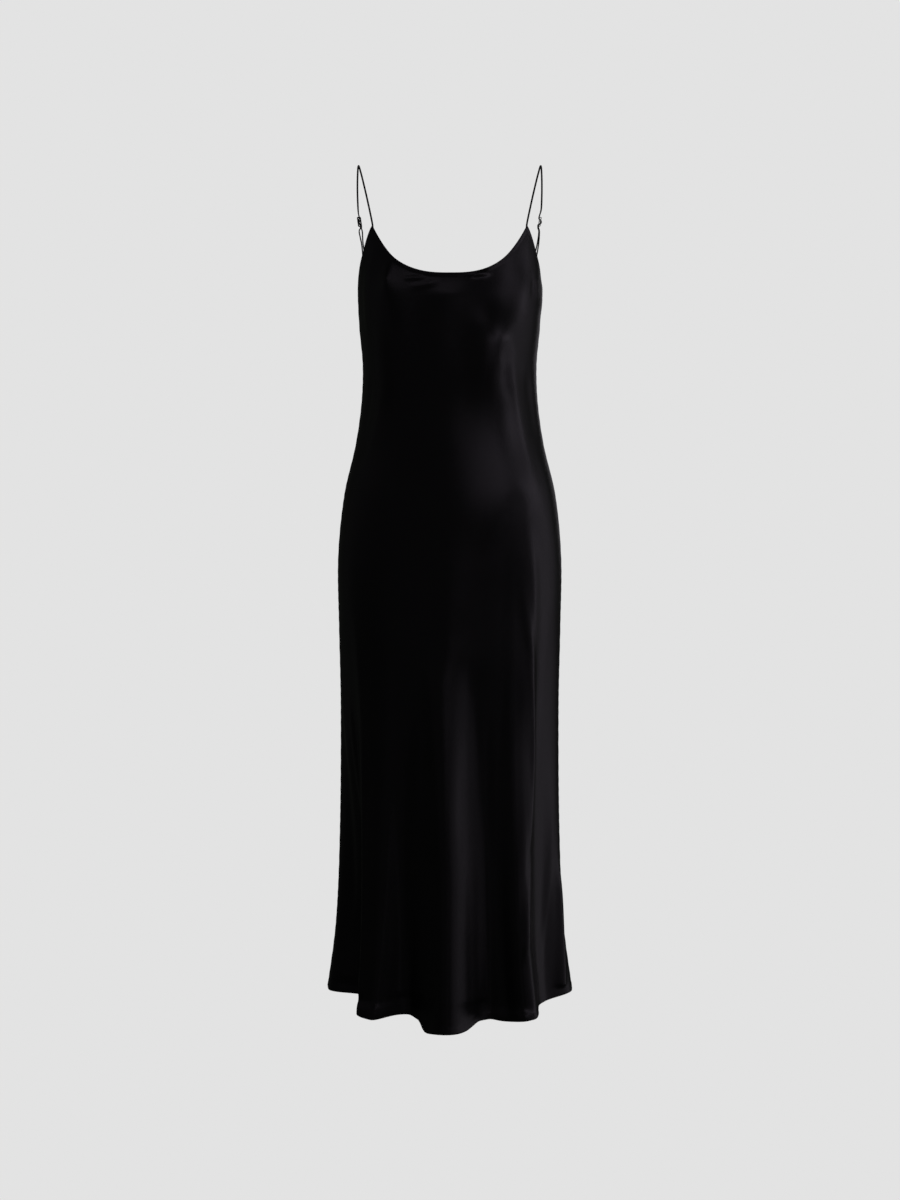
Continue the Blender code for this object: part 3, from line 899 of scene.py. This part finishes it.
@dataclass(frozen=True)
class SewingThread(Grained):
    """Black sewing thread with a little twist."""

    name: str = "black_sewing_thread"
    dark: Colour = (0.0060, 0.0058, 0.0064, 1.0)
    light: Colour = (0.0120, 0.0115, 0.0125, 1.0)
    roughness: float = 0.50
    grain: float = 3200.0
    detail: float = 2.0
    span: tuple[float, float] = (0.4, 0.6)
    swing: float = 0.10
    strength: float = 0.6


@dataclass(frozen=True)
class CoatedMetal(Grained):
    """Black lacquered metal, with fine wear."""

    name: str = "black_coated_metal"
    dark: Colour = (0.0050, 0.0050, 0.0054, 1.0)
    light: Colour = (0.0160, 0.0160, 0.0170, 1.0)
    roughness: float = 0.28
    grain: float = 900.0
    detail: float = 4.0
    span: tuple[float, float] = (0.55, 0.75)
    swing: float = 0.20
    depth: float = 0.00003
    strength: float = 0.3
    metallic: float = 0.4
    coat: float = 0.4


@dataclass
class Wardrobe:
    """All the finishes of the dress, each made once.

    Attributes:
        face: The panels' right side.
        wrong_side: The panels' wrong side.
        rouleau: The straps and the ring loops.
        thread: The stitches.
        metal: The sliders and the rings.
    """

    face: bpy.types.Material
    wrong_side: bpy.types.Material
    rouleau: bpy.types.Material
    thread: bpy.types.Material
    metal: bpy.types.Material

    @classmethod
    def build(cls) -> "Wardrobe":
        """Make every finish."""
        finishes = (SatinFace(), SatinBack(), Rouleau(), SewingThread(), CoatedMetal())
        return cls(*(finish.build() for finish in finishes))


# ---------------------------------------------------------------- pieces
def add_piece(name: str, mesh: bpy.types.Mesh, material: bpy.types.Material) -> bpy.types.Object:
    """Link a piece at the origin, dress it and let it ride on the dress's one body.

    Args:
        name: The piece's name.
        mesh: Its mesh, in place.
        material: Its finish.

    Returns:
        The piece.
    """
    piece = bpy.data.objects.new(name, mesh)
    bpy.context.scene.collection.objects.link(piece)
    mesh.materials.append(material)
    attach(piece, "root")
    return piece


@dataclass
class Panel:
    """One cloth panel of the dress, with its creases, turned edges and wrong side.

    Attributes:
        side: The side that it covers.
        figure: The form that it lies on.
        unevenness: Its small waviness.
        flat: Width and length of its flat cut; not used.
        flat_area: Area of its flat cut; not used.
        seam: The relief of its side seams.
        side_columns: Quads between a side seam and a peak.
        middle_columns: Quads between the peaks.
        top_rows: Quads from the top edge to the level line.
        lower_rows: Quads from the level line to the hem.
        level_z: Height of the level line.
        cloth: Thickness of the cloth where it is turned in.
        single_share: The share of it that a single layer has.
        neck_turn: Width of the turned top edge.
        hem_turn: Width of the turned hem.
        turn_step: How far a turned edge stands out.
        turn_ramp: Width of the slope up to a turned edge.
        edge_share: The share of the waviness that is left at the edges.
        edge_calm: How far inside the edges the waviness is full.
        seam_calm: How far inside the seams the waviness is full.
        seam_crowding: How much closer the columns lie at the seams.
        neck_rows: The rows' distances from the top edge, through its turn.
        hem_rows: The rows' distances from the hem, through its turn.
    """

    side: Side
    figure: Figure
    unevenness: Unevenness
    flat: tuple[float, float]
    flat_area: float
    seam: SeamRelief = SeamRelief()
    side_columns: int = 24
    middle_columns: int = 102
    top_rows: int = 46
    lower_rows: int = 258
    level_z: float = -0.250
    cloth: float = 0.0012
    single_share: float = 0.5
    neck_turn: float = 0.0050
    hem_turn: float = 0.0090
    turn_step: float = 0.00025
    turn_ramp: float = 0.0012
    edge_share: float = 0.25
    edge_calm: float = 0.03
    seam_calm: float = 0.02
    seam_crowding: float = 1.3
    neck_rows: tuple[float, ...] = (0.0, 0.0008, 0.0044, 0.0056)
    hem_rows: tuple[float, ...] = (0.0, 0.0010, 0.0084, 0.0096)

    @property
    def edge(self) -> Edge:
        """The panel's top edge."""
        return EDGES[self.side]

    def top_z(self, place: Array) -> Array:
        """The height of the panel's top edge.

        Args:
            place: Places across the panel, from -1 to 1.

        Returns:
            The height at each place.
        """
        edge, across = self.edge, np.abs(place)
        inner = np.sin(np.minimum(across, edge.peak_place) * math.pi / 2)
        inner = inner / math.sin(edge.peak_place * math.pi / 2)
        scoop = edge.middle_z + (edge.peak_z - edge.middle_z) * inner**edge.scoop_power
        outer = np.clip((across - edge.peak_place) / (1 - edge.peak_place), 0.0, 1.0)
        armhole = edge.peak_z + (SEAM_TOP_Z - edge.peak_z) * outer**ARMHOLE_POWER
        return np.where(across <= edge.peak_place, scoop, armhole)

    def hem_z(self, place: Array) -> Array:
        """The height of the panel's hem, lower at some folds.

        Args:
            place: Places across the panel, from -1 to 1.

        Returns:
            The height at each place.
        """
        right, left = HEM_SEAM_Z
        seams = right + (left - right) * (place + 1) / 2
        drop = sum(fold.drop * fold.flank(place) for fold in self.figure.folds[self.side])
        return seams + (HEM_MIDDLE_Z[self.side] - seams) * np.cos(place * math.pi / 2) ** 2 - drop

    def places(self) -> Array:
        """The grid's columns, crowded at the side seams.

        Returns:
            The place of each column, from -1 to 1.
        """
        peak = self.edge.peak_place
        share = np.linspace(0.0, 1.0, self.side_columns + 1) ** self.seam_crowding
        outer = -1 + (1 - peak) * share
        middle = np.linspace(-peak, peak, self.middle_columns + 1)
        return np.concatenate((outer[:-1], middle, -outer[::-1][1:]))

    def row_heights(self, place: Array) -> Array:
        """The grid's rows, crowded at the turned edges.

        Args:
            place: The place of each column.

        Returns:
            The height of every row at each place, from the top edge to the hem.
        """
        top, hem = self.top_z(place), self.hem_z(place)
        top_edge = [top - drop for drop in self.neck_rows]
        bottom_edge = [hem + rise for rise in self.hem_rows[::-1]]
        run, steps = self.level_z - top_edge[-1], self.top_rows - len(top_edge) + 1
        upper = [top_edge[-1] + run * k / steps for k in range(1, steps + 1)]
        run, steps = bottom_edge[0] - self.level_z, self.lower_rows - len(bottom_edge) + 1
        lower = [self.level_z + run * k / steps for k in range(1, steps)]
        return np.stack([*top_edge, *upper, *lower, *bottom_edge])

    def turned_in(self, inset: Array, turn: float) -> Array:
        """1 where an edge is turned in and 0 inside its turn, by the distance from the edge."""
        return 1 - smooth_step((inset - turn + self.turn_ramp / 2) / self.turn_ramp)

    def relief(self, place: Array, z: Array) -> Array:
        """How far creases, waviness, edges and seams move the cloth outwards.

        Args:
            place: Places across the panel, from -1 to 1.
            z: Heights.

        Returns:
            The reach at each point.
        """
        across = place * QUARTER_GIRTH
        to_seam = (1 - np.abs(place)) * QUARTER_GIRTH
        below_top, above_hem = self.top_z(place) - z, z - self.hem_z(place)
        inside = smooth_step(np.minimum(below_top, above_hem) / self.edge_calm)
        share = self.edge_share + (1 - self.edge_share) * inside
        reach = self.unevenness.reach(across, z)
        reach *= share * smooth_step(to_seam / self.seam_calm)
        for crease in CREASES[self.side]:
            reach += crease.push(across, z)
        neck = self.turned_in(below_top, self.neck_turn)
        hem = self.turned_in(above_hem, self.hem_turn)
        return reach + self.turn_step * np.maximum(neck, hem) + self.seam.reach(to_seam, z)

    def points(self, place: Array, z: Array) -> Array:
        """The cloth's outer face at places and heights."""
        points, outwards = self.figure.surface(self.side, place, z)
        return points + outwards * self.relief(place, z)[:, None]

    def build(self, wardrobe: Wardrobe) -> bpy.types.Object:
        """Make the panel.

        Args:
            wardrobe: The finishes.

        Returns:
            The panel, standing for the frame's own.
        """
        columns = 2 * self.side_columns + self.middle_columns
        rows = self.top_rows + self.lower_rows
        grid = bmesh.new()
        bmesh.ops.create_grid(grid, x_segments=columns, y_segments=rows, size=0.5)
        if self.side is Side.BACK:
            bmesh.ops.reverse_faces(grid, faces=grid.faces)
        mesh = bpy.data.meshes.new(f"{self.side.value}_cloth")
        grid.to_mesh(mesh)
        grid.free()
        spots = np.empty(len(mesh.vertices) * 3, np.float32)
        mesh.vertices.foreach_get("co", spots)
        spots = spots.reshape(-1, 3)
        across = np.rint((spots[:, 0] + 0.5) * columns).astype(int)
        down = np.rint((0.5 - spots[:, 1]) * rows).astype(int)
        places = self.places()
        place = places[across]
        z = self.row_heights(places)[down, across]
        mesh.vertices.foreach_set("co", self.points(place, z).astype(np.float32).ravel())
        self.lay_grain(mesh, place, z)
        mesh.shade_smooth()
        piece = add_piece(f"{self.side.value}_cloth", mesh, wardrobe.face)
        mesh.materials.append(wardrobe.wrong_side)
        self.turn_edges(piece, place, z)
        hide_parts(f"{self.side.value}_panel")
        return piece

    def lay_grain(self, mesh: bpy.types.Mesh, place: Array, z: Array) -> None:
        """Give the mesh a UV map in metres of flat cloth.

        Args:
            mesh: The panel's mesh.
            place: The place of each vertex.
            z: The height of each vertex.
        """
        layer = mesh.uv_layers.new(name=CLOTH_MAP)
        corners = np.empty(len(mesh.loops), np.int32)
        mesh.loops.foreach_get("vertex_index", corners)
        flat = np.stack((place[corners] * QUARTER_GIRTH, z[corners]), axis=1)
        layer.data.foreach_set("uv", flat.astype(np.float32).ravel())

    def turn_edges(self, piece: bpy.types.Object, place: Array, z: Array) -> None:
        """Give the cloth its thickness, double where its edges are turned in.

        Args:
            piece: The panel's piece.
            place: The place of each vertex.
            z: The height of each vertex.
        """
        turned = (self.top_z(place) - z < self.neck_turn) | (z - self.hem_z(place) < self.hem_turn)
        group = piece.vertex_groups.new(name="turned edges")
        group.add(np.nonzero(turned)[0].tolist(), 1.0, "REPLACE")
        wall = piece.modifiers.new("cloth", "SOLIDIFY")
        wall.thickness = self.cloth
        wall.offset = -1
        wall.use_even_offset = True
        wall.vertex_group = group.name
        wall.thickness_vertex_group = self.single_share
        wall.material_offset = 1


@dataclass
class StitchRow:
    """A row of stitches along a panel, a set way inside one of its edges.

    Attributes:
        name: The row's piece name.
        panel: The panel that it is sewn on.
        at_hem: Whether it runs along the hem, or else along the top edge.
        inset: Its distance from the edge.
        pitch: Distance from stitch to stitch.
        length: Length of a stitch.
        thickness: Thickness of the thread.
        end_place: The place of its last stitch, short of the seam at 1.
        samples: Points that its line is measured with.
    """

    name: str
    panel: Panel
    at_hem: bool
    inset: float
    pitch: float = 0.0030
    length: float = 0.0021
    thickness: float = 0.00030
    end_place: float = 0.995
    samples: int = 1200

    def line(self) -> Array:
        """The row's own line on the cloth.

        Returns:
            Its points, close together.
        """
        place = np.linspace(-self.end_place, self.end_place, self.samples)
        if self.at_hem:
            z = self.panel.hem_z(place) + self.inset
        else:
            z = self.panel.top_z(place) - self.inset
        return self.panel.points(place, z)

    def build(self, wardrobe: Wardrobe) -> bpy.types.Object:
        """Sew the row.

        Args:
            wardrobe: The finishes.

        Returns:
            The row as one piece.
        """
        line = self.line()
        run = np.concatenate(([0.0], np.cumsum(np.linalg.norm(np.diff(line, axis=0), axis=1))))
        starts = np.arange(self.pitch / 2, run[-1] - self.pitch, self.pitch)
        rows = bmesh.new()
        for start in starts:
            ends = [
                Vector([np.interp(s, run, line[:, axis]) for axis in range(3)])
                for s in (start, start + self.length)
            ]
            along = ends[1] - ends[0]
            turn = along.to_track_quat("X", "Z").to_matrix().to_4x4()
            size = Matrix.Diagonal((along.length / 2, self.thickness / 2, self.thickness / 2, 1))
            spot = Matrix.Translation((ends[0] + ends[1]) / 2) @ turn @ size
            bmesh.ops.create_icosphere(rows, subdivisions=1, radius=1.0, matrix=spot)
        mesh = bpy.data.meshes.new(self.name)
        rows.to_mesh(mesh)
        rows.free()
        mesh.shade_smooth()
        piece = add_piece(self.name, mesh, wardrobe.thread)
        return piece


@dataclass
class FineSkin:
    """A finer skin of one of the frame's small nodes.

    Attributes:
        node: The frame's node.
        slot: The record's material slot; not used.
        rounding: Width of the rounding of its hard edges, or none.
        levels: Subdivision levels.
        swell: How far its faces move out first, against the shrinking of the subdivision.
        merge: Distance within which the node's loose corners are joined.
        flat_angle: Degrees under which neighbouring faces become one, where edges are rounded.
        hard_angle: Degrees over which an edge is rounded.
        quad_angle: Degrees under which two triangles become a quad, on a tube.
    """

    node: str
    slot: str
    rounding: float = 0.0
    levels: int = 0
    swell: float = 0.0
    merge: float = 1e-6
    flat_angle: float = 1.0
    hard_angle: float = 50.0
    quad_angle: float = 60.0

    def clean(self, skin: bmesh.types.BMesh) -> None:
        """Join the node's loose triangles, then round its hard edges or make it quads.

        Args:
            skin: The node's mesh.
        """
        bmesh.ops.remove_doubles(skin, verts=skin.verts, dist=self.merge)
        if self.rounding:
            flat, hard = math.radians(self.flat_angle), math.radians(self.hard_angle)
            bmesh.ops.dissolve_limit(skin, angle_limit=flat, verts=skin.verts, edges=skin.edges)
            bmesh.ops.bevel(
                skin,
                geom=[edge for edge in skin.edges if edge.calc_face_angle(0.0) > hard],
                offset=self.rounding,
                affect="EDGES",
                segments=2,
                profile=0.5,
                material=-1,
            )
        else:
            angle = math.radians(self.quad_angle)
            bmesh.ops.join_triangles(
                skin, faces=skin.faces, angle_face_threshold=angle, angle_shape_threshold=angle
            )

    def build(self, material: bpy.types.Material) -> bpy.types.Object:
        """Make the skin.

        Args:
            material: Its finish.

        Returns:
            The skin, standing for the node.
        """
        skin = bmesh.new()
        skin.from_mesh(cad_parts[self.node].data)
        self.clean(skin)
        for vert in skin.verts:
            vert.co += vert.normal * self.swell
        mesh = bpy.data.meshes.new(f"{self.node}_skin")
        skin.to_mesh(mesh)
        skin.free()
        mesh.materials.clear()
        mesh.shade_smooth()
        piece = add_piece(f"{self.node}_skin", mesh, material)
        if self.levels:
            finer = piece.modifiers.new("round", "SUBSURF")
            finer.levels = self.levels
            finer.render_levels = self.levels
        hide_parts(self.node)
        return piece


@dataclass
class StrapSet:
    """A shoulder strap with its ring loop, ring and slider.

    Attributes:
        word: The wearer's side that it is on.
        slider_swell: How far the slider's faces move out.
        strap_swell: How far the strap's faces move out.
        loop_swell: How far the ring loop's faces move out.
        ring_swell: How far the ring's faces move out.
        slider_rounding: Width of the rounding of the slider's edges.
    """

    word: str
    slider_swell: float
    strap_swell: float = 0.00018
    loop_swell: float = 0.00012
    ring_swell: float = 0.00003
    slider_rounding: float = 0.00018

    def build(self, wardrobe: Wardrobe) -> list[bpy.types.Object]:
        """Make the four pieces.

        Args:
            wardrobe: The finishes.

        Returns:
            The strap, the ring loop, the ring and the slider.
        """
        strap = FineSkin(f"strap_{self.word}", "satin", levels=1, swell=self.strap_swell)
        loop = FineSkin(f"ring_loop_{self.word}", "satin", levels=1, swell=self.loop_swell)
        ring = FineSkin(f"ring_{self.word}", "coated_metal", levels=1, swell=self.ring_swell)
        slider = FineSkin(
            f"slider_{self.word}", "coated_metal", self.slider_rounding, swell=self.slider_swell
        )
        return [
            strap.build(wardrobe.rouleau),
            loop.build(wardrobe.rouleau),
            ring.build(wardrobe.metal),
            slider.build(wardrobe.metal),
        ]


# ---------------------------------------------------------------- the studio
@dataclass(frozen=True)
class Lamp:
    """A soft lamp, placed round the dress and turned towards it.

    Attributes:
        name: Its name.
        azimuth: Its direction in degrees, 0 on the camera's side and 90 at the wearer's left.
        elevation: Its height in degrees.
        width: Its width.
        height: Its height.
        radiance: How bright its face is.
        distance: Its distance from the point that it is turned to.
        colour: The colour of its light.
        aim_z: The height of the point that it is turned to.
    """

    name: str
    azimuth: float
    elevation: float
    width: float
    height: float
    radiance: float
    distance: float = 3.0
    colour: tuple[float, float, float] = (1.0, 0.95, 1.03)
    aim_z: float = -0.60

    def build(self) -> None:
        """Hang the lamp."""
        data = bpy.data.lights.new(self.name, "AREA")
        data.shape = "RECTANGLE"
        data.size, data.size_y = self.width, self.height
        data.energy = self.radiance * math.pi * self.width * self.height
        data.color = self.colour
        lamp = bpy.data.objects.new(self.name, data)
        bpy.context.scene.collection.objects.link(lamp)
        turn, lift = math.radians(self.azimuth), math.radians(self.elevation)
        away = Vector(
            (math.sin(turn) * math.cos(lift), -math.cos(turn) * math.cos(lift), math.sin(lift))
        )
        lamp.location = Vector((0, 0, self.aim_z)) + away * self.distance
        lamp.rotation_mode = "QUATERNION"
        lamp.rotation_quaternion = (-away).to_track_quat("-Z", "Y")
        lamp.visible_camera = False


@dataclass
class Studio:
    """The pale room, its lamps and the camera.

    Attributes:
        pale: How bright the backdrop and the floor are.
        dusk: How bright the dark room round the cloth is.
        dusk_colour: The dark room's colour.
        floor_z: The floor's height.
        floor_size: The floor's length and width.
        camera_at: The camera's place.
        tilt: Degrees that the camera looks down.
        lens: The camera's lens in millimetres.
        lamps: The lamps.
    """

    pale: float = 0.768
    dusk: float = 0.019
    dusk_colour: tuple[float, float, float] = (0.93, 1.0, 0.89)
    floor_z: float = -1.42
    floor_size: float = 60.0
    camera_at: tuple[float, float, float] = (0.0005, -3.0, -0.3616)
    tilt: float = 5.0
    lens: float = 62.07
    # The dusk and the levels of all but the two back lamps rest on the same fitting program.
    lamps: tuple[Lamp, ...] = (
        Lamp("front strip", 30, 13, 2.3, 0.6, 0.541),
        Lamp("front left", 52, 25, 1.5, 0.6, 0.540),
        Lamp("left", 83, 11, 1.5, 0.65, 0.890),
        Lamp("left low", 95, -7, 0.8, 1.0, 0.496),
        Lamp("behind the left", 112, -4, 1.2, 3.0, 0.145),
        Lamp("floor at the left", 105, -24, 0.8, 0.7, 0.190),
        Lamp("high front", -5, 50, 1.4, 0.6, 0.368),
        Lamp("low front", 60, -12, 1.4, 0.6, 0.145),
        Lamp("left of the front", 77, -12, 0.7, 0.6, 0.095),
        Lamp("floor at the front left", 78, -28, 0.9, 0.6, 0.200),
        Lamp("floor at the front", 8, -20, 0.8, 0.6, 0.083),
        Lamp("right", -75, 25, 3.0, 3.0, 0.028),
        Lamp("front right", -30, 0, 2.4, 2.0, 0.023),
        Lamp("behind the right", -112, 8, 1.0, 2.6, 0.020),
        Lamp("back left", 160, 15, 1.0, 2.0, 0.30),
        Lamp("back right", -165, 30, 0.8, 1.6, 0.25, distance=3.2),
    )

    def build(self) -> None:
        """Set up the room."""
        scene = bpy.context.scene
        scene.view_settings.view_transform = "Standard"
        self.build_world(scene)
        self.build_floor()
        for lamp in self.lamps:
            lamp.build()
        data = bpy.data.cameras.new("camera")
        data.lens = self.lens
        camera = bpy.data.objects.new("camera", data)
        scene.collection.objects.link(camera)
        camera.location = self.camera_at
        camera.rotation_euler = (math.radians(90 - self.tilt), 0.0, 0.0)
        scene.camera = camera

    def build_world(self, scene: bpy.types.Scene) -> None:
        """Hang a pale backdrop that leaves the cloth in a dark room.

        Args:
            scene: The scene that it is hung in.
        """
        world = bpy.data.worlds.new("room")
        scene.world = world
        tree = Tree(world)
        seen = tree.node("ShaderNodeLightPath", {}, {}, "Is Camera Ray")
        dark = {"Color": (*self.dusk_colour, 1.0), "Strength": self.dusk}
        dusk = tree.node("ShaderNodeBackground", {}, dark)
        bright = {"Color": (1.0, 1.0, 1.0, 1.0), "Strength": self.pale}
        pale = tree.node("ShaderNodeBackground", {}, bright)
        glow = tree.node("ShaderNodeMixShader", {}, {"Fac": seen, 1: dusk, 2: pale})
        tree.node("ShaderNodeOutputWorld", {}, {"Surface": glow})

    def build_floor(self) -> None:
        """Lay a plain pale floor as bright as the backdrop."""
        grid = bmesh.new()
        bmesh.ops.create_grid(grid, x_segments=1, y_segments=1, size=self.floor_size / 2)
        bmesh.ops.translate(grid, verts=grid.verts, vec=(0.0, 0.0, self.floor_z))
        mesh = bpy.data.meshes.new("floor")
        grid.to_mesh(mesh)
        grid.free()
        floor = bpy.data.objects.new("floor", mesh)
        bpy.context.scene.collection.objects.link(floor)
        paint = bpy.data.materials.new("pale_floor")
        tree = Tree(paint)
        bright = {"Color": (self.pale, self.pale, self.pale, 1.0), "Strength": 1.0}
        glow = tree.node("ShaderNodeEmission", {}, bright)
        tree.node("ShaderNodeOutputMaterial", {}, {"Surface": glow})
        mesh.materials.append(paint)
        floor.visible_glossy = False
        floor.visible_diffuse = False
        floor.visible_shadow = False


# ---------------------------------------------------------------- the dress
@dataclass
class Dress:
    """The whole dress: two panels, their rows of stitches and two strap sets.

    Attributes:
        front_flat: Width and length of the front's flat cut.
        front_area: Area of the front's flat cut.
        back_flat: Width and length of the back's flat cut.
        back_area: Area of the back's flat cut.
        front_waves: The front's small waviness.
        back_waves: The back's small waviness.
        hem_inset: The hem stitches' distance from the hem.
        neck_inset: The neck stitches' distance from the top edge.
        right_slider_swell: How far the faces of the slider on the wearer's right move out.
        left_slider_swell: The same for the left.
    """

    front_flat: tuple[float, float] = (0.70, 1.14)
    front_area: float = 0.505
    back_flat: tuple[float, float] = (0.67, 1.08)
    back_area: float = 0.475
    front_waves: Unevenness = Unevenness(11, height=0.00004)
    back_waves: Unevenness = Unevenness(23)
    hem_inset: float = 0.0080
    neck_inset: float = 0.0040
    right_slider_swell: float = 0.00050
    left_slider_swell: float = 0.00008

    def panels(self) -> list[Panel]:
        """Cut the two panels, on one figure.

        Returns:
            The front and the back panel.
        """
        figure = Figure()
        return [
            Panel(Side.FRONT, figure, self.front_waves, self.front_flat, self.front_area),
            Panel(Side.BACK, figure, self.back_waves, self.back_flat, self.back_area),
        ]

    def build(self) -> None:
        """Build every piece of the dress and report it."""
        wardrobe = Wardrobe.build()
        panels = self.panels()
        pieces = [panel.build(wardrobe) for panel in panels]
        for panel in panels:
            word = panel.side.value
            hem = StitchRow(f"{word}_hem_stitches", panel, True, self.hem_inset)
            neck = StitchRow(f"{word}_neck_stitches", panel, False, self.neck_inset)
            pieces += [hem.build(wardrobe), neck.build(wardrobe)]
        pieces += StrapSet("right", self.right_slider_swell).build(wardrobe)
        pieces += StrapSet("left", self.left_slider_swell).build(wardrobe)
        for piece in pieces:
            LOG.info("%s: %d faces", piece.name, len(piece.data.polygons))


def main() -> None:
    """Build the dress in its room."""
    logging.basicConfig(level=logging.INFO, format="%(message)s")
    Dress().build()
    Studio().build()
    bpy.context.view_layer.update()


if __name__ == "__main__":
    main()
